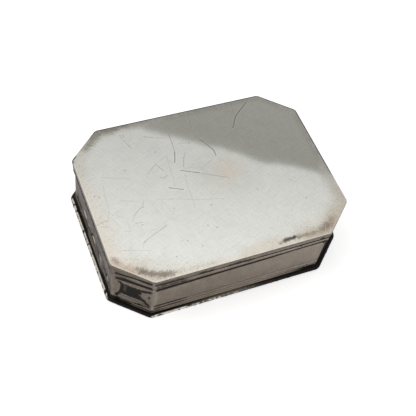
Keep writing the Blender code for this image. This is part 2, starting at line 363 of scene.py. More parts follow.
def makeStudio(look):
    world = bpy.data.worlds.new("whiteRoom")
    bpy.context.scene.world = world
    world.use_nodes = True
    bench = Bench(world.node_tree)
    seen = seenRays(bench)
    strength = seen * (1.0 - look["roomLight"]) + look["roomLight"]
    glow = bench.add("ShaderNodeBackground", None, {"Color": (1.0, 1.0, 1.0, 1.0), "Strength": strength})
    bench.add("ShaderNodeOutputWorld", None, {"Surface": glow})

    half = look["tableHalf"]
    table = plane("whiteTable", ((-half, -half), (half, half)), 0.0)
    material, bench = newFinish("whitePaper")
    matt = bench.add("ShaderNodeBsdfDiffuse", None, {"Color": (look["tableTone"],) * 3 + (1.0,)})
    glow = bench.add("ShaderNodeEmission", None, {"Strength": seenRays(bench) * look["tableGlow"]})
    both = bench.add("ShaderNodeAddShader", None, (matt, glow))
    bench.add("ShaderNodeOutputMaterial", None, {"Surface": both})
    table.data.materials.append(material)

    data = bpy.data.lights.new("softLamp", "AREA")
    data.shape, data.size, data.energy = "DISK", look["lampSize"], look["lampPower"]
    lamp = bpy.data.objects.new("softLamp", data)
    lamp.location = look["lampFrom"]
    lamp.rotation_euler = Vector(look["lampFrom"]).to_track_quat("Z", "Y").to_euler()
    lamp.visible_glossy = False
    bpy.context.collection.objects.link(lamp)


def makeCard(look):
    share = look["cardHeight"] / (view["place"][2] - plan["top"])
    card = plane("mirrorCard", look["cardCorners"], (plan["top"] + look["cardHeight"]) * mm)
    for ray in ("camera", "diffuse", "transmission", "volume_scatter", "shadow"):
        setattr(card, "visible_" + ray, False)
    material, bench = newFinish("cardGlow")
    # the place on the plate where the camera sees this spot of the card mirrored
    sideways, frontwards = [view["place"][i] * share / (1 + share) for i in (0, 1)]
    shrunk = bench.vector("SCALE", bench.spot(), Scale=1 / (1 + share))
    x, y = bench.split(bench.vector("ADD", shrunk, (sideways, frontwards, 0.0)))[:2]
    toLeft, toFront, size = look["cardFrame"]
    curve = [((a + toLeft) / size, (b + toFront) / size) for a, b in look["cardEdge"]]
    drawn = bench.add("ShaderNodeFloatCurve", {"curve": curve}, {"Value": (x + toLeft) / size})
    edge = drawn * size - toFront
    beyond = (y - edge + look["cardShift"]) * look["cardSteepness"]
    softer, soft = look["cardSoft"]
    dark = (beyond / (x.fall(*look["cardSoftFade"]) * softer + soft)).rise(-1.0, 1.0)
    steady, more = look["cardRidge"]
    ridge = beyond.rise(*look["cardRidgePlace"]) * (x.fall(*look["cardRidgeFade"]) * more + steady)
    level, perX, perY = look["cardTilt"]
    tilt = level - x * perX - y * perY
    up = x * look["cardUp"][0] + y * look["cardUp"][1]
    reach = look["cardReach"]
    stops = [((place + reach) / (2 * reach), tone) for place, tone in look["cardLight"]]
    light = bench.ramp((up + reach) / (2 * reach), stops)
    before, span = look["cardDarkSpan"]
    tone = bench.mix(dark, light, bench.ramp((beyond + before) / span, look["cardDark"]))
    glow = bench.add("ShaderNodeEmission", None, {"Color": tone, "Strength": (ridge + tilt) * (1.0 - dark) + 1.0})
    bench.add("ShaderNodeOutputMaterial", None, {"Surface": glow})
    card.data.materials.append(material)


makeStudio(studio)
makeCard(studio)
print("studio built")


# Base plate: scratched silver, tarnished from its edges inwards
plateLook = {
    "silver": (0.755, 0.762, 0.715, 1.0),
    "gilt": (0.62, 0.43, 0.20, 1.0),
    "side": (0.155, 0.130, 0.110, 1.0),
    "sideShadeDark": (0.07, 0.06, 0.05, 1.0),
    "underLipShade": (0.10, 0.085, 0.07, 1.0),
    "nearLipHighlight": (0.86, 0.80, 0.70, 1.0),
    "farLipShade": (0.10, 0.096, 0.088, 1.0),
    "cornerDark": (0.03, 0.03, 0.028, 1.0),
    "crackleTone": (0.22, 0.190, 0.15, 1.0),
    "scratchTone": (0.13, 0.12, 0.105, 1.0),
    "shineTone": (0.93, 0.93, 0.89, 1.0),
    "roughness": (0.078, 0.22, 0.05, 0.15),  # clean, and more by tarnish, specks and scratches
    "metallic": (0.97, 0.25),  # clean, and less by tarnish
    "relief": (0.3, 0.03, 0.006),  # scratches, specks, depth in mm
    "overhang": 0.9,  # mm that the plate stands proud of the walls
    # noises: size in mm, detail, roughness
    "broad": (7.0, 3.0, 0.55), "blotch": (1.7, 4.0, 0.65), "speck": (0.45, 2.0, 0.6), "stroke": (1.0, 2.0, 0.6),
    "crackle": (0.7, 4.0, 0.75), "broken": (2.4, 1.0, 0.5), "dish": (9.0, 1.0, 0.4),
    # mm that each kind of edge wanders, by noise
    "tarnishWander": (5.0, 2.2, 2.0), "washesWander": (2.2, 1.5, 1.5), "stainsWander": (1.8, 2.6, 2.6),
    "blotsWander": (1.2, 1.5, 0.5),
    "mottle": (0.985, 0.09, 0.14, 0.15),  # shade, and how far broad blots, specks and rubbing change it
    # turn round the box where the far edges' painted shade begins and ends, and the place of a dark mark at the back
    # left corner
    "farSide": ((0.452, 0.475), (0.873, 0.897)), "cornerDarkPlace": (0.9185, 0.9290, 0.002),
    "sideBelow": (21.78, 21.97), "underBelow": (20.92, 21.1),  # heights where the plate's edge and underside begin
    "liningFrom": (1.6, 1.8),  # mm in from the edge
    "edgeTone": [  # its tone round the box
        (0.0, (0.78, 0.71, 0.61, 1.0)), (0.074, (0.74, 0.65, 0.54, 1.0)), (0.10, (0.60, 0.52, 0.43, 1.0)),
        (0.135, (0.70, 0.63, 0.53, 1.0)), (0.20, (0.76, 0.70, 0.61, 1.0)), (0.32, (0.74, 0.67, 0.57, 1.0)),
        (0.373, (0.62, 0.55, 0.46, 1.0)), (0.41, (0.62, 0.54, 0.44, 1.0)), (0.45, (0.70, 0.65, 0.56, 1.0)),
        (0.50, (0.70, 0.67, 0.61, 1.0)), (0.60, (0.74, 0.66, 0.62, 1.0)), (0.70, (0.60, 0.58, 0.53, 1.0)),
        (0.83, (0.55, 0.53, 0.47, 1.0)), (0.90, (0.56, 0.53, 0.46, 1.0)), (0.94, (0.68, 0.64, 0.56, 1.0)),
        (1.0, (0.78, 0.71, 0.61, 1.0)),
    ],
    "edgeReach": [  # width of the tarnish round the box, as a share of 10 mm
        (0.0, 0.50), (0.074, 0.60), (0.10, 0.85), (0.14, 0.55), (0.20, 0.22), (0.28, 0.30), (0.33, 0.50),
        (0.373, 0.60), (0.41, 0.60), (0.44, 0.50), (0.50, 0.22), (0.62, 0.20), (0.75, 0.18), (0.86, 0.40),
        (0.92, 0.42), (1.0, 0.50),
    ],
    # single scratches by their depth, as places on the plate
    "deep": [
        [(2.8, 17.7), (4.5, 14.4), (5.7, 11.9), (5.7, 9.3)], [(-8.2, 6.8), (-2.4, 4.1)], [(-14.2, 1.2), (-9.9, -0.8)],
        [(25.0, 28.7), (18.9, 23.8), (15.9, 19.1)], [(-7.3, 14.7), (-8.9, 10.2)],
    ],
    "clear": [
        [(1.9, 18.8), (2.8, 17.7)], [(5.7, 9.3), (6.3, 6.8)], [(-2.4, 4.1), (1.2, 2.1), (6.5, -0.5)],
        [(-6.7, 22.3), (-6.9, 18.3), (-7.3, 14.7)], [(-22.4, 24.4), (-21.7, 22.6), (-20.9, 20.2)],
        [(-22.8, 26.6), (-22.4, 25.2)], [(-21.9, 26.6), (-21.5, 25.3)], [(-19.0, 8.5), (-15.3, 11.5), (-13.6, 8.4)],
        [(-40.9, -6.0), (-38.4, -5.3), (-37.0, -5.4)], [(-39.3, -7.0), (-37.6, -7.5)],
        [(-4.1, 13.3), (-5.4, 11.2), (-6.6, 7.9)], [(-15.6, 6.0), (-14.5, 5.3), (-13.1, 6.1)],
        [(-29.5, -8.7), (-26.8, -9.0)], [(-15.1, 23.7), (-12.4, 22.5)],
        [(-19.8, -12.3), (-22.7, -13.5), (-25.7, -14.7), (-28.6, -16.1)],
        [(-24.8, -3.4), (-26.6, -4.3), (-28.5, -6.0)],
    ],
    "faint": [
        [(-7.5, 6.9), (-4.2, 7.1), (-2.7, 6.0)], [(-10.5, 13.9), (-11.2, 8.0), (-11.9, 1.4)],
        [(-7.1, 5.2), (-8.1, 1.0), (-8.3, -4.0), (-8.7, -8.7)], [(-23.8, -1.2), (-24.8, -3.4)],
        [(-28.5, -6.0), (-29.8, -8.0)], [(-12.4, 22.5), (-8.5, 21.2)], [(-33.7, 11.2), (-25.0, 8.2)],
        [(-30.9, 0.8), (-28.4, 0.0), (-25.7, -1.0)], [(-28.6, -16.1), (-29.7, -18.0)], [(19.5, 29.7), (18.7, 25.2)],
        [(-36.7, -16.9), (-32.0, -18.3), (-27.7, -19.6)], [(-34.3, 8.0), (-35.1, 4.5), (-35.3, -1.3), (-37.0, -5.4)],
        [(-31.2, -7.7), (-31.3, -11.1), (-33.5, -10.5)], [(3.8, 8.1), (0.7, 6.6), (-1.2, 5.4)],
        [(3.0, 28.7), (1.2, 21.5)], [(-5.0, 17.7), (-1.3, 17.0)],
        [(-19.0, -2.1), (-12.0, -4.0), (-8.3, -5.5), (2.0, -8.1)], [(-15.3, 11.5), (-10.6, 13.8)],
        [(-25.3, -12.7), (-23.0, -12.7)],
    ],
    # fine streaks over the whole plate: angle, length, width, share left plain
    "hairlines": [
        (-38, 8.0, 0.20, 0.70), (18, 10.0, 0.22, 0.70), (71, 7.0, 0.2, 0.71), (-70, 9.0, 0.22, 0.71),
        (43, 6.0, 0.2, 0.71),
    ],
    "shine": [(-22, 9.0, 0.2, 0.70), (62, 8.0, 0.2, 0.70)],
    "rubbing": [(-66, 5.0, 0.42, 2.0), (20, 5.0, 0.45, 2.0)],  # angle, length, width, detail
    "washes": [  # broad tarnish: path, half width, soft edge, strength, tone
        ([(22.5, -29.2), (28.5, -28.8), (32.8, -26.2)], 0.5, 3.0, 0.60, (0.47, 0.385, 0.295, 1.0)),
        ([(34.5, -24.2), (37.6, -20.6), (39.8, -15.5)], 0.6, 3.8, 0.24, (0.50, 0.425, 0.320, 1.0)),
        ([(20.0, -27.5), (28.0, -26.2), (31.0, -24.5)], 0.5, 4.5, 0.24, (0.60, 0.52, 0.40, 1.0)),
        ([(-39.8, -20.0), (-37.9, -22.6), (-35.2, -25.0)], 0.2, 2.6, 0.60, (0.48, 0.375, 0.285, 1.0)),
        ([(-35.0, -24.4), (-31.8, -27.2), (-27.8, -29.2)], 0.6, 2.6, 0.34, (0.46, 0.368, 0.280, 1.0)),
        ([(0.5, -29.6), (6.0, -29.0), (12.0, -29.0)], 0.8, 3.4, 0.34, (0.66, 0.555, 0.450, 1.0)),
        ([(-35.2, 25.3), (-33.0, 27.0), (-29.5, 29.0), (-25.0, 30.2)], 0.5, 3.0, 0.64, (0.37, 0.350, 0.285, 1.0)),
        ([(-22.7, 30.4), (-14.0, 30.6)], 0.2, 2.4, 0.35, (0.37, 0.350, 0.285, 1.0)),
        ([(-39.4, 19.5), (-39.9, 14.0)], 0.5, 3.0, 0.22, (0.58, 0.56, 0.45, 1.0)),
        ([(0.5, 3.5), (8.5, -2.5)], 1.0, 9.0, 0.19, (0.50, 0.485, 0.440, 1.0)),
        ([(7.2, 3.6), (8.2, 2.4)], 0.6, 6.6, 0.52, (0.74, 0.655, 0.560, 1.0)),
        ([(1.8, -2.4), (6.0, 2.0)], 0.6, 6.6, 0.26, (0.74, 0.665, 0.575, 1.0)),
    ],
    "stains": [  # dark cores
        ([(28.3, -28.0), (30.6, -27.4)], 0.2, 1.7, 0.62, (0.22, 0.180, 0.145, 1.0)),
        ([(29.6, -28.0), (31.6, -26.9), (32.9, -25.6)], 0.1, 1.4, 0.45, (0.28, 0.220, 0.160, 1.0)),
        ([(19.0, -28.8), (24.0, -28.9), (28.0, -28.8)], 0.15, 0.8, 0.66, (0.26, 0.215, 0.170, 1.0)),
        ([(-39.4, -19.4), (-38.6, -20.8)], 0.0, 1.0, 0.5, (0.24, 0.195, 0.150, 1.0)),
        ([(-33.6, -24.6), (-32.2, -26.2)], 0.0, 1.3, 0.40, (0.22, 0.180, 0.145, 1.0)),
        ([(-32.8, -25.7), (-30.3, -27.5), (-27.0, -28.8), (-24.0, -29.2)], 0.2, 1.5, 0.80, (0.19, 0.152, 0.121, 1.0)),
        ([(-23.7, -29.4), (-10.0, -29.5)], 0.1, 1.0, 0.35, (0.52, 0.43, 0.350, 1.0)),
        ([(-35.4, 24.4), (-31.6, 27.6), (-28.6, 29.6), (-19.5, 30.2)], 0.1, 1.2, 0.42, (0.19, 0.178, 0.150, 1.0)),
    ],
    "blots": [  # small dark marks with a firm edge
        ([(12.4, -29.3), (14.2, -28.8), (18.8, -28.5)], 0.1, 0.8, 0.50, (0.15, 0.125, 0.108, 1.0)),
        ([(14.3, -28.75), (16.4, -28.6), (17.9, -28.5)], 0.32, 0.6, 0.84, (0.046, 0.038, 0.036, 1.0)),
    ],
    "pits": [
        (-25.8, 12.0), (-15.4, -6.9), (-27.1, -9.9), (-1.3, 17.0), (-31.8, 25.3), (-38.2, 4.8), (-37.0, 4.0),
        (28.2, -15.6), (13.7, -7.7), (-3.3, -9.1), (-4.7, -17.7), (-24.8, -3.5), (-28.6, -16.1), (-13.7, 16.4),
        (-7.3, -16.2), (-15.5, -19.6), (-11.7, -22.7), (-20.8, -24.0),
    ],
}


def basePlateFinish(look):
    material, bench = newFinish("basePlateSilver")
    x, y, z = bench.split(bench.spot())
    flat = bench.place(x, y)
    broad, blotch, speck = (bench.noise(flat, *look[kind]) for kind in ("broad", "blotch", "speck"))
    inward = -bench.edgeGap(x, y, look["overhang"])
    turn = bench.turn(x, y)
    stroke = bench.noise(bench.place(turn * 520.0, inward * 0.7), *look["stroke"])

    # tarnish that creeps in from the edges, then single stains
    reach = bench.ramp(turn, look["edgeReach"]) * 10.0
    ragged = inward + sway((broad, blotch, stroke), look["tarnishWander"])
    tarnish = 1.0 - (ragged / reach).rise(-0.3, 1.3)
    colour = bench.mix(tarnish * 0.85, look["silver"], bench.ramp(turn, look["edgeTone"]))
    finer = (blotch, speck, stroke)
    for layer, noises in (("washes", (blotch, broad, stroke)), ("stains", finer), ("blots", finer)):
        wander = sway(noises, look[layer + "Wander"])
        for path, half, soft, strength, tone in look[layer]:
            mark = (bench.gapTo(flat, path) + wander).fall(half, half + soft)
            colour = bench.mix(mark * strength, colour, tone)
    crackle = bench.noise(flat, *look["crackle"]).rise(0.55, 0.66) * (ragged / reach).fall(0.2, 2.0)
    colour = bench.mix(crackle * 0.50, colour, look["crackleTone"])

    # scratches, hairlines and pits
    broken = bench.noise(flat, *look["broken"])
    deepGap = bench.gapToAll(flat, look["deep"])
    deep = deepGap.fall(0.07, 0.26) * broken.rise(0.2, 0.42)
    clear = bench.gapToAll(flat, look["clear"]).fall(0.05, 0.24) * broken.rise(0.22, 0.42)
    faint = bench.gapToAll(flat, look["faint"]).fall(0.04, 0.22)
    cut = (deep * 0.62).top(clear * 0.32).top(faint * 0.17)
    hair = bench.streaks(flat, look["hairlines"])
    pit = bench.gapToAll(flat, [[place] for place in look["pits"]]).fall(0.16, 0.42)
    dots = bench.add(
        "ShaderNodeTexVoronoi", {"feature": "F1"}, {"Vector": flat, "Scale": 0.55, "Randomness": 1.0}, out="Distance"
    ).fall(0.05, 0.11) * broad.rise(0.42, 0.6)
    marks = cut.top(pit * 0.36).top(dots * 0.22).top(hair * 0.20)
    colour = bench.mix(marks, colour, look["scratchTone"])
    # painted highlights: pale streaks, and a bright edge beside the deep scratches
    shine = (bench.streaks(flat, look["shine"]) * 0.5).top(deepGap.band(0.34, 0.60, 0.12) * 0.28)
    colour = bench.mix(shine, colour, look["shineTone"])
    shade, byBroad, bySpeck, byRubbing = look["mottle"]
    steep, level = (bench.drawn(flat, *row) for row in look["rubbing"])
    mottle = shade + (broad - 0.5) * byBroad + (speck - 0.5) * bySpeck + (steep + level - 1.0) * byRubbing
    colour = bench.shaded(colour, mottle)

    # edge: painted highlight along the lip at the front and left, painted shade along the back and right
    starts, ends = look["farSide"]
    farEdgeShade = turn.rise(*starts) * turn.fall(*ends)
    lip = inward.fall(0.40, 0.80)
    colour = bench.shaded(colour, 1.0 - farEdgeShade * inward.fall(0.3, 3.5) * 0.22)
    colour = bench.mix(lip * farEdgeShade * 0.9, colour, look["farLipShade"])
    colour = bench.mix(lip * (1.0 - farEdgeShade) * 0.12, colour, look["nearLipHighlight"])
    # the plate's edge face: painted shade, blotched with tarnish
    sideShadeTone = bench.mix(blotch.rise(0.35, 0.7), look["side"], look["sideShadeDark"])
    colour = bench.mix(z.fall(*look["sideBelow"]), colour, sideShadeTone)
    # darker at the back left corner's lip
    colour = bench.mix(turn.band(*look["cornerDarkPlace"]) * inward.fall(0.35, 0.75), colour, look["cornerDark"])
    # underside: gilt lining inside, and under the overhang a dark lip of patina and painted shade
    under = z.fall(*look["underBelow"])
    inside = inward.rise(*look["liningFrom"])
    colour = bench.mix(under * inside, colour, look["gilt"])
    colour = bench.mix(under * (1.0 - inside) * 0.8, colour, look["underLipShade"])

    clean, byTarnish, bySpeck, byScratch = look["roughness"]
    rough = clean + tarnish * byTarnish + (speck - 0.5) * bySpeck + cut * byScratch
    byDeep, bySpeck, depth = look["relief"]
    height = bench.noise(flat, *look["dish"]) - deep * byDeep + speck * bySpeck
    metallic, byTarnish = look["metallic"]
    bench.metal(colour, rough, metallic - tarnish * byTarnish, height, depth)
    return material


dress(basePlateFinish(plateLook), "base_plate")
print("base plate finished")


# Walls: silver darkened by tarnish and by painted dark reflection, darker in its grooves with patina and painted
# shade, painted highlights on its corners
wallLook = {
    "panel": (0.215, 0.180, 0.149, 1.0),
    "light": (0.44, 0.385, 0.33, 1.0),
    "grime": (0.030, 0.025, 0.021, 1.0),
    "line": (0.018, 0.015, 0.013, 1.0),
    "side": (0.200, 0.177, 0.157, 1.0),
    "sideRubbed": (0.42, 0.39, 0.35, 1.0),
    "shadow": (0.012, 0.010, 0.009, 1.0),
    "patchTone": (0.024, 0.021, 0.019, 1.0),
    "paneTone": (0.12, 0.105, 0.092, 1.0),
    "glintTone": (0.80, 0.73, 0.65, 1.0),
    "gilt": (0.66, 0.46, 0.21, 1.0),
    "roughness": 0.36,
    "metallic": 0.8,
    "depth": 0.02,
    "sideways": {"wallSilver": 0.32, "mouldingSilver": 0.22},  # brightness mirrored at a flat angle
    # noises: size in mm, detail, roughness; the pulled ones begin with their stretch
    "broad": (6.0, 3.0, 0.6), "blotch": (1.4, 4.0, 0.65), "speck": (0.5, 2.0, 0.6), "grain": (0.5, 3.0, 0.75),
    "run": ((0.12, 0.12, 1.6), 0.9, 2.0, 0.5),
    "brushed": ((1.0, 1.0, 0.14), 0.8, 2.0, 0.5),
    "streak": ((1.0, 0.4, 0.9), 0.8, 3.0, 0.7),
    "wobble": (1.2, 0.5),
    # shares of the turn round the box
    "leftCorner": (0.0715, 0.0765, 0.0012), "frontCorner": (0.1245, 0.1295, 0.0012),
    "rightCant": (0.377, 0.430, 0.003),
    "patch": [  # painted dark reflection on the front left cut corner: places along it and up, half width, soft edge
        ([(5.1, 10.6), (8.4, 10.7)], 1.55, 0.5), ([(4.6, 7.5), (8.6, 7.6)], 1.55, 0.5),
        ([(2.7, 12.6), (3.5, 11.5), (3.4, 7.0)], 0.35, 0.45), ([(8.8, 11.8), (10.6, 12.2), (13.0, 13.2)], 0.42, 0.5),
        ([(9.9, 6.9), (11.2, 6.6), (11.9, 5.7), (12.5, 5.0)], 0.45, 0.45),
        ([(3.3, 6.9), (2.4, 5.0), (1.8, 3.5)], 0.30, 0.4), ([(13.0, 10.1), (12.9, 9.4)], 0.15, 0.35),
        ([(2.0, 2.1), (2.4, 1.8)], 0.3, 0.4), ([(8.3, 2.75), (13.0, 3.75)], 0.15, 0.3),
    ],
    "pane": ([(4.7, 11.3), (4.6, 8.2)], 0.2, 0.5),  # a paler strip in the painted reflection
    "oldLines": [(4.6, 0.50), (2.95, 0.40)],  # height and half width at the front's left end
    "glints": [  # painted reflections on the left wall: places along y and up, half width, soft edge
        ([(9.0, 7.8), (7.4, 7.5)], 0.40, 1.0), ([(-0.4, 6.9), (-2.2, 6.6)], 0.35, 1.0),
        ([(-7.8, 6.4), (-9.2, 6.1)], 0.15, 1.0), ([(4.2, 7.1), (3.8, 7.0)], 0.0, 0.7),
        ([(-16.0, 6.4), (-16.6, 5.6)], 0.15, 0.6),
    ],
    "dashes": [  # dark painted reflections there, given the same way
        ([(1.3, 5.8), (-0.1, 7.6)], 0.30, 0.5), ([(-5.9, 5.8), (-4.2, 7.7)], 0.35, 0.5),
        ([(-7.6, 5.6), (-6.4, 7.2)], 0.25, 0.5), ([(-12.4, 6.2), (-13.6, 6.8)], 0.35, 0.6),
        ([(-14.8, 5.6), (-15.9, 7.4)], 0.30, 0.4), ([(13.5, 5.2), (18.5, 4.7)], 0.30, 0.9),
        ([(8.0, 5.2), (-1.0, 4.7)], 0.15, 0.9),
    ],
    "soot": [  # dirt in the moulding at the front: places along it and up
        ([(-29.5, 19.7), (-26.0, 19.4), (-21.0, 19.2)], 0.5, 0.9), ([(-29.0, 17.9), (-19.5, 17.8)], 0.0, 0.9),
        ([(-14.7, 19.6), (-11.0, 19.3)], 0.35, 0.9), ([(-5.2, 19.3), (-1.0, 19.5), (2.6, 18.9)], 0.4, 0.9),
        ([(19.5, 18.9), (20.0, 18.7)], 0.35, 0.5), ([(27.2, 20.5), (27.8, 20.3)], 0.3, 0.6),
    ],
}


def wallMarks(bench, look, colour, spot, areas):  # painted light and shadow at the foot, and painted reflections of the wall strip: dark patch, glints and dashes
    x, y, z = spot
    left, front, cant, along, outward, wobble = areas
    # painted light: the lower wall brightened against the shade of the lid's rim, most at the foot
    footLight = z.fall(1.8, 6.0) + z.fall(1.9, 2.8) * (front * 0.5 + cant * along.rise(5.5, 7.5)) + 1.0
    footLightTint = bench.add("ShaderNodeCombineColor", None, (footLight, footLight * 1.05 - 0.05, footLight * 1.14 - 0.14))
    colour = bench.mix(1.0, colour, footLightTint, "MULTIPLY")
    panel = bench.place(along, z)
    # painted dark reflection on the front left cut corner, with a paler strip
    mark = cant * outward.rise(-0.5, -0.4)
    colour = bench.mix(bench.marked(panel, look["patch"], wobble) * mark, colour, look["patchTone"])
    colour = bench.mix(bench.marked(panel, [look["pane"]], wobble) * mark * 0.5, colour, look["paneTone"])
    foot = (z - x.rise(25.0, 31.0) - 1.0).fall(-0.1, 0.25) * front  # painted shadow at the right foot of the front
    # painted shadow at the foot of the cut corner's left end
    cornerFootShadow = (z - 2.3).fall(-0.5, 0.5) * along.fall(6.0, 8.5) * cant * 0.3
    colour = bench.mix(foot.top(cornerFootShadow), colour, look["grime"])
    # painted reflections on the left wall: pale glints, then dark dashes
    side = bench.place(y, z)
    colour = bench.mix(bench.marked(side, look["glints"], wobble * 0.5) * left, colour, look["glintTone"])
    return bench.mix(bench.marked(side, look["dashes"], wobble * 0.5) * left, colour, look["line"])


def mouldingMarks(bench, look, colour, spot, areas):  # soot at the front, and painted shade under the plate on the left side
    x, z = spot[0], spot[2]
    left, front, wobble = areas[0], areas[1], areas[-1]
    soot = bench.marked(bench.place(x, z), look["soot"], wobble * 1.4) * front
    colour = bench.mix(soot * 0.75, colour, look["grime"])
    # painted shade under the plate's overhang on the left side
    return bench.shaded(colour, 0.9 - z.band(17.5, 20.5, 0.3) * left * 0.38)


def wallFinish(name, look, lines, gilded):
    material, bench = newFinish(name)
    spot = bench.spot()
    x, y, z = bench.split(spot)
    broad, speck = bench.noise(spot, *look["broad"]), bench.noise(spot, *look["speck"])
    blotch = bench.noise(bench.place(x, y, z * 0.45), *look["blotch"])
    run, brushed = bench.pulled(spot, *look["run"]), bench.pulled(spot, *look["brushed"])
    turn = bench.turn(x, y)
    outward = bench.edgeGap(x, y, 0.0)
    left = bench.leftWall(turn)
    front, cant = (turn.band(*plan[side], 0.001) for side in ("front", "cant"))
    # mm along the front left cut corner
    along = (x + plan["across"]) * plan["cutDeep"] - (y + plan["cutStart"]) * plan["cutAcross"]
    wobble = sway((blotch, speck), look["wobble"])

    mild = broad.rise(0.35, 0.75) * 0.2 + blotch.rise(0.45, 0.8) * 0.2 + turn.rise(0.13, 0.40) * 0.34
    colour = bench.mix(mild, look["panel"], look["light"])
    # the left wall: darker, with pale streaks, painted shade and painted reflection
    wearAndSheen = run.rise(0.54, 0.68) * blotch.rise(0.4, 0.6) * 0.6
    colour = bench.mix(left * 0.95, colour, bench.mix(wearAndSheen, look["side"], look["sideRubbed"]))
    colour = bench.mix(blotch.rise(0.62, 0.84) * 0.35, colour, look["grime"])
    # painted reflection: streaks on the left wall
    streak = bench.pulled(spot, *look["streak"]).rise(0.36, 0.64) - 0.5
    grain = bench.noise(spot, *look["grain"]).rise(0.3, 0.7) * 0.46 + 0.67 + brushed * 0.2 + streak * left * 0.95
    colour = bench.shaded(colour, grain)
    # painted highlights down the two corners of the front left cut corner
    corner = turn.band(*look["frontCorner"]).top(turn.band(*look["leftCorner"]) * 0.5)
    colour = bench.mix(corner * 0.34 * outward.rise(-0.3, -0.1), colour, look["light"])
    # painted shade over the front left cut corner, painted shadow on the right cut corner
    colour = bench.mix(cant * 0.22, colour, look["grime"])
    colour = bench.mix(turn.band(*look["rightCant"]) * 0.8, colour, look["shadow"])
    marks = wallMarks if gilded else mouldingMarks
    colour = marks(bench, look, colour, (x, y, z), (left, front, cant, along, outward, wobble))

    unlined = cant * (1.0 - along.band(1.2, 13.7, 0.3))  # the cut corner's lines stop short of its edges
    # dark lines: patina and painted shade in the grooves, under the moulding and under the plate
    for height, half, strength, start, uphill, rightwards in lines:
        climb = cant * (along / plan["cutLength"] * uphill + start) + front * x * rightwards
        mark = abs(z - climb - height) + (speck - 0.5) * 0.2 - cant * (uphill * 0.1)
        colour = bench.mix(mark.fall(half * 0.7, half * 1.3) * (strength - unlined * strength), colour, look["line"])
    if gilded:
        early = x.fall(-21.0, -16.0) * front  # the fine lines are darker at the front's left end
        for height, half in look["oldLines"]:
            mark = abs(z - height) + (speck - 0.5) * 0.25
            colour = bench.mix(mark.fall(half * 0.7, half * 1.3) * early * 0.95, colour, look["grime"])
        colour = bench.mix(outward.fall(-0.55, -0.45) * z.rise(1.7, 1.9), colour, look["gilt"])
    rough = look["roughness"] + (blotch - 0.5) * 0.25 + (speck - 0.5) * 0.1
    height = broad * 0.5 + blotch * 0.5 + run * 0.4
    bench.metal(colour, rough, look["metallic"], height, look["depth"], look["sideways"][name])
    return material


# dark lines, patina and painted shade: height, half width, strength, start and rise along the front left cut corner,
# slope along the front
wallLines = [
    (15.50, 0.60, 0.97, -1.40, 1.90, 0.0237), (4.55, 0.29, 0.60, 0.0, 0.0, 0.0), (2.9, 0.29, 0.60, 0.0, 0.0, 0.0),
]
# in the moulding: its quirk, the shadow under the bead and the line under the plate's edge, patina and painted shade
mouldingLines = [
    (19.25, 0.45, 0.92, -1.2, 2.05, 0.0075), (16.72, 0.55, 0.97, -1.6, 1.90, 0.0237),
    (20.85, 0.15, 0.6, 0.0, 0.0, 0.0),
]
dress(wallFinish("wallSilver", wallLook, wallLines, True), "wall_band")
dress(wallFinish("mouldingSilver", wallLook, mouldingLines, False), "base_moulding")
print("walls finished")


# Lid rim: cast border, black with grime and painted shade, rubbed bright where it is handled and lit by painted
# highlights
rimLook = {
    "bright": (0.84, 0.80, 0.74, 1.0),
    "grime": (0.012, 0.0105, 0.0095, 1.0),
    "gilt": (0.66, 0.46, 0.21, 1.0),
    "face": (0.60, 0.585, 0.54, 1.0),
    "ledge": (0.42, 0.38, 0.33, 1.0),
    "brightWorn": (0.40, 0.35, 0.30, 1.0),
    "giltWorn": (0.42, 0.29, 0.14, 1.0),
    "faceWorn": (0.25, 0.21, 0.17, 1.0),
    "roughness": 0.30,
    "metallic": 0.85,
    "depth": 0.03,
    "sideways": 0.7,  # brightness mirrored at a flat angle
    # noises: size in mm, detail, roughness
    "broad": (5.0, 2.0, 0.5), "blotch": (1.3, 3.0, 0.6), "speck": (0.4, 2.0, 0.6), "beat": (1.0, 1.0, 0.5),
    "wearAndHighlight": [  # how far the rim is rubbed bright, with painted highlights, round the box
        (0.0, 0.85), (0.066, 0.8), (0.0744, 0.45), (0.082, 0.0), (0.122, 0.0), (0.127, 0.2), (0.131, 0.62),
        (0.171, 0.50), (0.22, 0.42), (0.28, 0.24), (0.33, 0.16), (0.355, 0.0), (0.43, 0.0), (0.46, 0.3), (0.60, 0.4),
        (0.75, 0.5), (0.87, 0.5), (0.9256, 0.75), (1.0, 0.85),
    ],
    "shelf": [  # painted reflection: how bright the outer half of the lid's shelf is
        (0.0, 0.05), (0.07, 0.05), (0.085, 0.0), (0.14, 0.0), (0.165, 0.05), (0.185, 0.12), (0.205, 0.32),
        (0.25, 0.42), (0.27, 0.25), (0.29, 0.05), (0.33, 0.0), (0.42, 0.0), (0.5, 0.5), (0.75, 0.6), (0.91, 0.3),
        (0.925, 0.0), (1.0, 0.05),
    ],
    "innerShelf": [  # and its inner half, beside the walls
        (0.0, 0.95), (0.035, 0.85), (0.046, 0.15), (0.07, 0.1), (0.096, 0.1), (0.103, 0.35), (0.120, 0.3),
        (0.125, 0.1), (0.14, 0.8), (0.19, 1.0), (0.30, 1.0), (0.345, 0.6), (0.36, 0.0), (0.42, 0.1), (0.5, 0.8),
        (0.91, 0.5), (0.925, 0.1), (0.976, 0.1), (0.988, 0.9), (1.0, 0.95),
    ],
}


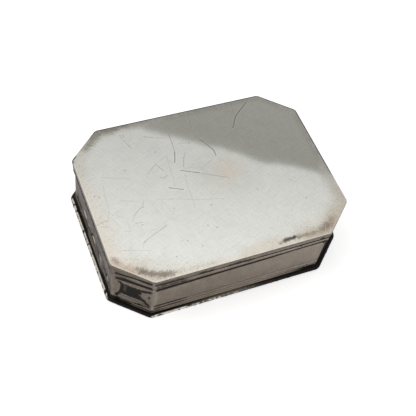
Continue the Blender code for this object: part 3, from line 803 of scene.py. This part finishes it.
def rimFinish(name, look, inside):
    material, bench = newFinish(name)
    spot = bench.spot()
    x, y, z = bench.split(spot)
    broad, blotch, speck = (bench.noise(spot, *look[kind]) for kind in ("broad", "blotch", "speck"))
    turn = bench.turn(x, y)
    outward = bench.edgeGap(x, y, 0.0)
    left = bench.leftWall(turn)

    # shelf beside the walls: painted shade, lightened round the box by painted reflection; then the lip, rubbed
    # bright with painted highlights
    patchy = 0.8 + (blotch - 0.5) * 0.8
    outer = (outward + left * 0.22).rise(0.40, 0.62)
    lit = bench.ramp(turn, look["shelf"]) * patchy * outer + bench.ramp(turn, look["innerShelf"]) * (1.0 - outer)
    colour = bench.mix(lit, look["grime"], look["ledge"])
    lip = (outward + left * 0.34).rise(1.26, 1.42)
    beat = bench.noise(bench.place(turn * 115.0, outward * 0.7), *look["beat"])
    wornAndLit = bench.ramp(turn, look["wearAndHighlight"]) + (blotch - 0.5) * 0.9 + (broad - 0.5) * 0.3
    wearAndSheen = wornAndLit.rise(0.35, 0.6) * lip * beat.rise(0.37, 0.46)
    colour = bench.mix(wearAndSheen, colour, bench.mix(speck, look["bright"], look["brightWorn"]))
    colour = bench.mix(outward.rise(1.44, 1.54) * left * blotch.rise(0.40, 0.54) * 0.85, colour, look["grime"])

    # the lid's outer face, which lies on the table, and its gilt inside
    faceTone = bench.mix(blotch.rise(0.45, 0.8) * 0.5, look["face"], look["faceWorn"])
    colour = bench.mix(z.fall(0.35, 0.5) * outward.fall(1.0, 1.3), colour, faceTone)
    if inside:
        within = outward.fall(-1.9, -1.5) * z.rise(1.2, 1.3)
        colour = bench.mix(within, colour, bench.mix(blotch.rise(0.5, 0.8) * 0.4, look["gilt"], look["giltWorn"]))
    rough = look["roughness"] + (blotch - 0.5) * 0.2 - wearAndSheen * 0.05
    height = blotch * 0.7 + speck * 0.4
    bench.metal(colour, rough, look["metallic"], height, look["depth"], look["sideways"])
    return material


rimSilver = rimFinish("rimSilver", rimLook, False)
dress(rimSilver, "lid_border")
dress(rimFinish("lidSheetSilver", rimLook, True), "lid_plate")
print("lid rim finished")


# Strips inside the box: gilt bezel and bearer, and the lid's own bearer
stripLook = {
    "gilt": (0.66, 0.46, 0.21, 1.0),
    "dull": (0.34, 0.23, 0.12, 1.0),
    "silver": (0.40, 0.37, 0.33, 1.0),
    "grime": (0.05, 0.042, 0.035, 1.0),
    "roughness": {"gilt": 0.26, "silver": 0.34},
    "metallic": 0.95,
    "depth": 0.012,
    # noises: size in mm, detail, roughness
    "blotch": (1.6, 4.0, 0.6), "speck": (0.35, 2.0, 0.6), "run": ((0.15, 1.0, 1.0), 0.3, 2.0, 0.5),
}


def stripFinish(name, look, light, dark):
    material, bench = newFinish(name)
    spot = bench.spot()
    blotch, speck = bench.noise(spot, *look["blotch"]), bench.noise(spot, *look["speck"])
    run = bench.pulled(spot, *look["run"])
    colour = bench.mix(blotch.rise(0.42, 0.75) * 0.7, look[light], look[dark])
    colour = bench.mix(run.rise(0.55, 0.8) * 0.3, colour, look[dark])
    rough = look["roughness"][light] + (speck - 0.5) * 0.12
    bench.metal(colour, rough, look["metallic"], blotch * 0.5 + run * 0.5, look["depth"])
    return material


dress(stripFinish("giltStrip", stripLook, "gilt", "dull"), "body_bearer", "lid_bezel")
dress(stripFinish("bearerSilver", stripLook, "silver", "grime"), "lid_bearer")
print("strips finished")


# Hinge: knuckles, pin and plugs, grimed where one knuckle meets the next
hingeLook = {
    "silver": (0.40, 0.37, 0.33, 1.0),
    "grime": (0.05, 0.042, 0.035, 1.0),
    "blotch": (1.1, 4.0, 0.6),
    "roughness": 0.34,
    "metallic": 0.9,
    "depth": 0.012,
    "pitch": 6.0,  # mm from one knuckle's end to the next
    "first": -27.0,
}


def hingeFinish(name, look):
    material, bench = newFinish(name)
    spot = bench.spot()
    x = bench.split(spot)[0]
    blotch = bench.noise(spot, *look["blotch"])
    joint = bench.add("ShaderNodeMath", {"operation": "PINGPONG"}, (x - look["first"], look["pitch"] / 2))
    colour = bench.mix(blotch.rise(0.4, 0.75) * 0.6, look["silver"], look["grime"])
    colour = bench.mix(joint.fall(0.15, 0.55) * 0.8, colour, look["grime"])
    rough = look["roughness"] + (blotch - 0.5) * 0.2
    bench.metal(colour, rough, look["metallic"], blotch, look["depth"])
    return material


hingeNodes = [name for name in nodes if "knuckle" in name or name in ("hinge_pin", "pin_plug_left", "pin_plug_right")]
dress(hingeFinish("hingeSilver", hingeLook), *hingeNodes)
print("hinge finished:", len(hingeNodes), "pieces")


# Cast beading on the lid's rim: small worn lumps along the roll, set by Geometry Nodes
beadLook = {
    "proud": 1.34, "height": 0.575, "pitch": 2.1, "length": 0.98, "depth": 0.42, "upright": 0.50,
    "least": 0.78, "most": 1.08, "seed": 7, "segments": 10, "rings": 6,
    "arcSteps": 4, "cornerRadius": 1.2,
}


def eightSides(proud, arcSteps, radius):
    across, deep, cut = (plan[key] + proud for key in ("across", "deep", "cut"))
    short = (cut - plan["cutAcross"] * across) / plan["cutDeep"]
    long = (cut - plan["cutDeep"] * deep) / plan["cutAcross"]
    corners = [(long, -deep), (across, -short), (across, short), (long, deep)]
    corners += [(-px, -py) for px, py in corners]
    points = []
    for i, corner in enumerate(corners):
        here = Vector(corner)
        before, after = Vector(corners[i - 1]) - here, Vector(corners[(i + 1) % 8]) - here
        angle = before.angle(after)
        back = radius / math.tan(angle / 2)
        middle = here + (before.normalized() + after.normalized()).normalized() * radius / math.sin(angle / 2)
        start, end = here + before.normalized() * back - middle, here + after.normalized() * back - middle
        for step in range(arcSteps + 1):
            arm = start.lerp(end, step / arcSteps).normalized() * radius
            points.append(middle + arm)
    return points


def beadingTree(material, segments, rings):
    tree = bpy.data.node_groups.new("rimBeadingTree", "GeometryNodeTree")
    tree.interface.new_socket("Path", in_out="INPUT", socket_type="NodeSocketGeometry")
    for name in ("Pitch", "Length", "Depth", "Upright", "Least", "Most"):
        tree.interface.new_socket(name, in_out="INPUT", socket_type="NodeSocketFloat")
    tree.interface.new_socket("Seed", in_out="INPUT", socket_type="NodeSocketInt")
    tree.interface.new_socket("Beading", in_out="OUTPUT", socket_type="NodeSocketGeometry")
    bench = Bench(tree)
    start = bench.add("NodeGroupInput")
    given = {port.name: Link(bench, port) for port in start.socket.node.outputs if port.name}
    path = bench.add("GeometryNodeMeshToCurve", None, {"Mesh": given["Path"]})
    spots = bench.add("GeometryNodeCurveToPoints", {"mode": "LENGTH"}, {"Curve": path, "Length": given["Pitch"]})
    tangent = Link(bench, spots.socket.node.outputs["Tangent"])
    turned = bench.add(
        "FunctionNodeAlignRotationToVector", {"axis": "X", "pivot_axis": "Z"}, {"Vector": tangent}
    )
    lump = bench.add("GeometryNodeMeshUVSphere", None, {"Segments": segments, "Rings": rings, "Radius": 1.0})
    sizes = bench.add("ShaderNodeCombineXYZ", None, (given["Length"], given["Depth"], given["Upright"]))
    chance = bench.add(
        "FunctionNodeRandomValue", {"data_type": "FLOAT"},
        {"Min": given["Least"], "Max": given["Most"], "Seed": given["Seed"]},
    )
    scaled = bench.vector("SCALE", sizes, Scale=chance)
    laid = bench.add(
        "GeometryNodeInstanceOnPoints", None,
        {"Points": spots, "Instance": lump, "Rotation": turned, "Scale": scaled},
    )
    real = bench.add("GeometryNodeRealizeInstances", None, [laid])
    smooth = bench.add("GeometryNodeSetShadeSmooth", None, [real])
    done = bench.add("GeometryNodeSetMaterial", None, {"Geometry": smooth, "Material": material})
    bench.add("NodeGroupOutput", None, [done])
    return tree


def grownPiece(name, points, tree, values):
    mesh = bpy.data.meshes.new(name + "Path")
    count = len(points)
    mesh.from_pydata([tuple(point) for point in points], [(i, (i + 1) % count) for i in range(count)], [])
    holder = bpy.data.objects.new(name + "Path", mesh)
    bpy.context.collection.objects.link(holder)
    modifier = holder.modifiers.new("grow", "NODES")
    modifier.node_group = tree
    keys = {item.name: item.identifier for item in tree.interface.items_tree if item.in_out == "INPUT"}
    for key, value in values.items():
        modifier[keys[key]] = value
    graph = bpy.context.evaluated_depsgraph_get()
    grown = bpy.data.meshes.new_from_object(holder.evaluated_get(graph))
    piece = bpy.data.objects.new(name, grown)
    bpy.context.collection.objects.link(piece)
    holder.modifiers.remove(modifier)
    bpy.data.objects.remove(holder)
    return piece


def makeBeading(look):
    proud = look["proud"]
    outline = eightSides(proud, look["arcSteps"], look["cornerRadius"] + proud)
    ring = [(point.x * mm, point.y * mm, look["height"] * mm) for point in outline]
    values = {name.capitalize(): look[name] * mm for name in ("pitch", "length", "depth", "upright")}
    values.update({name.capitalize(): look[name] for name in ("least", "most", "seed")})
    piece = grownPiece("rim_beading", ring, beadingTree(rimSilver, look["segments"], look["rings"]), values)
    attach(piece, "lid")
    return piece


beading = makeBeading(beadLook)
print("rim beading:", len(beading.data.polygons), "faces")
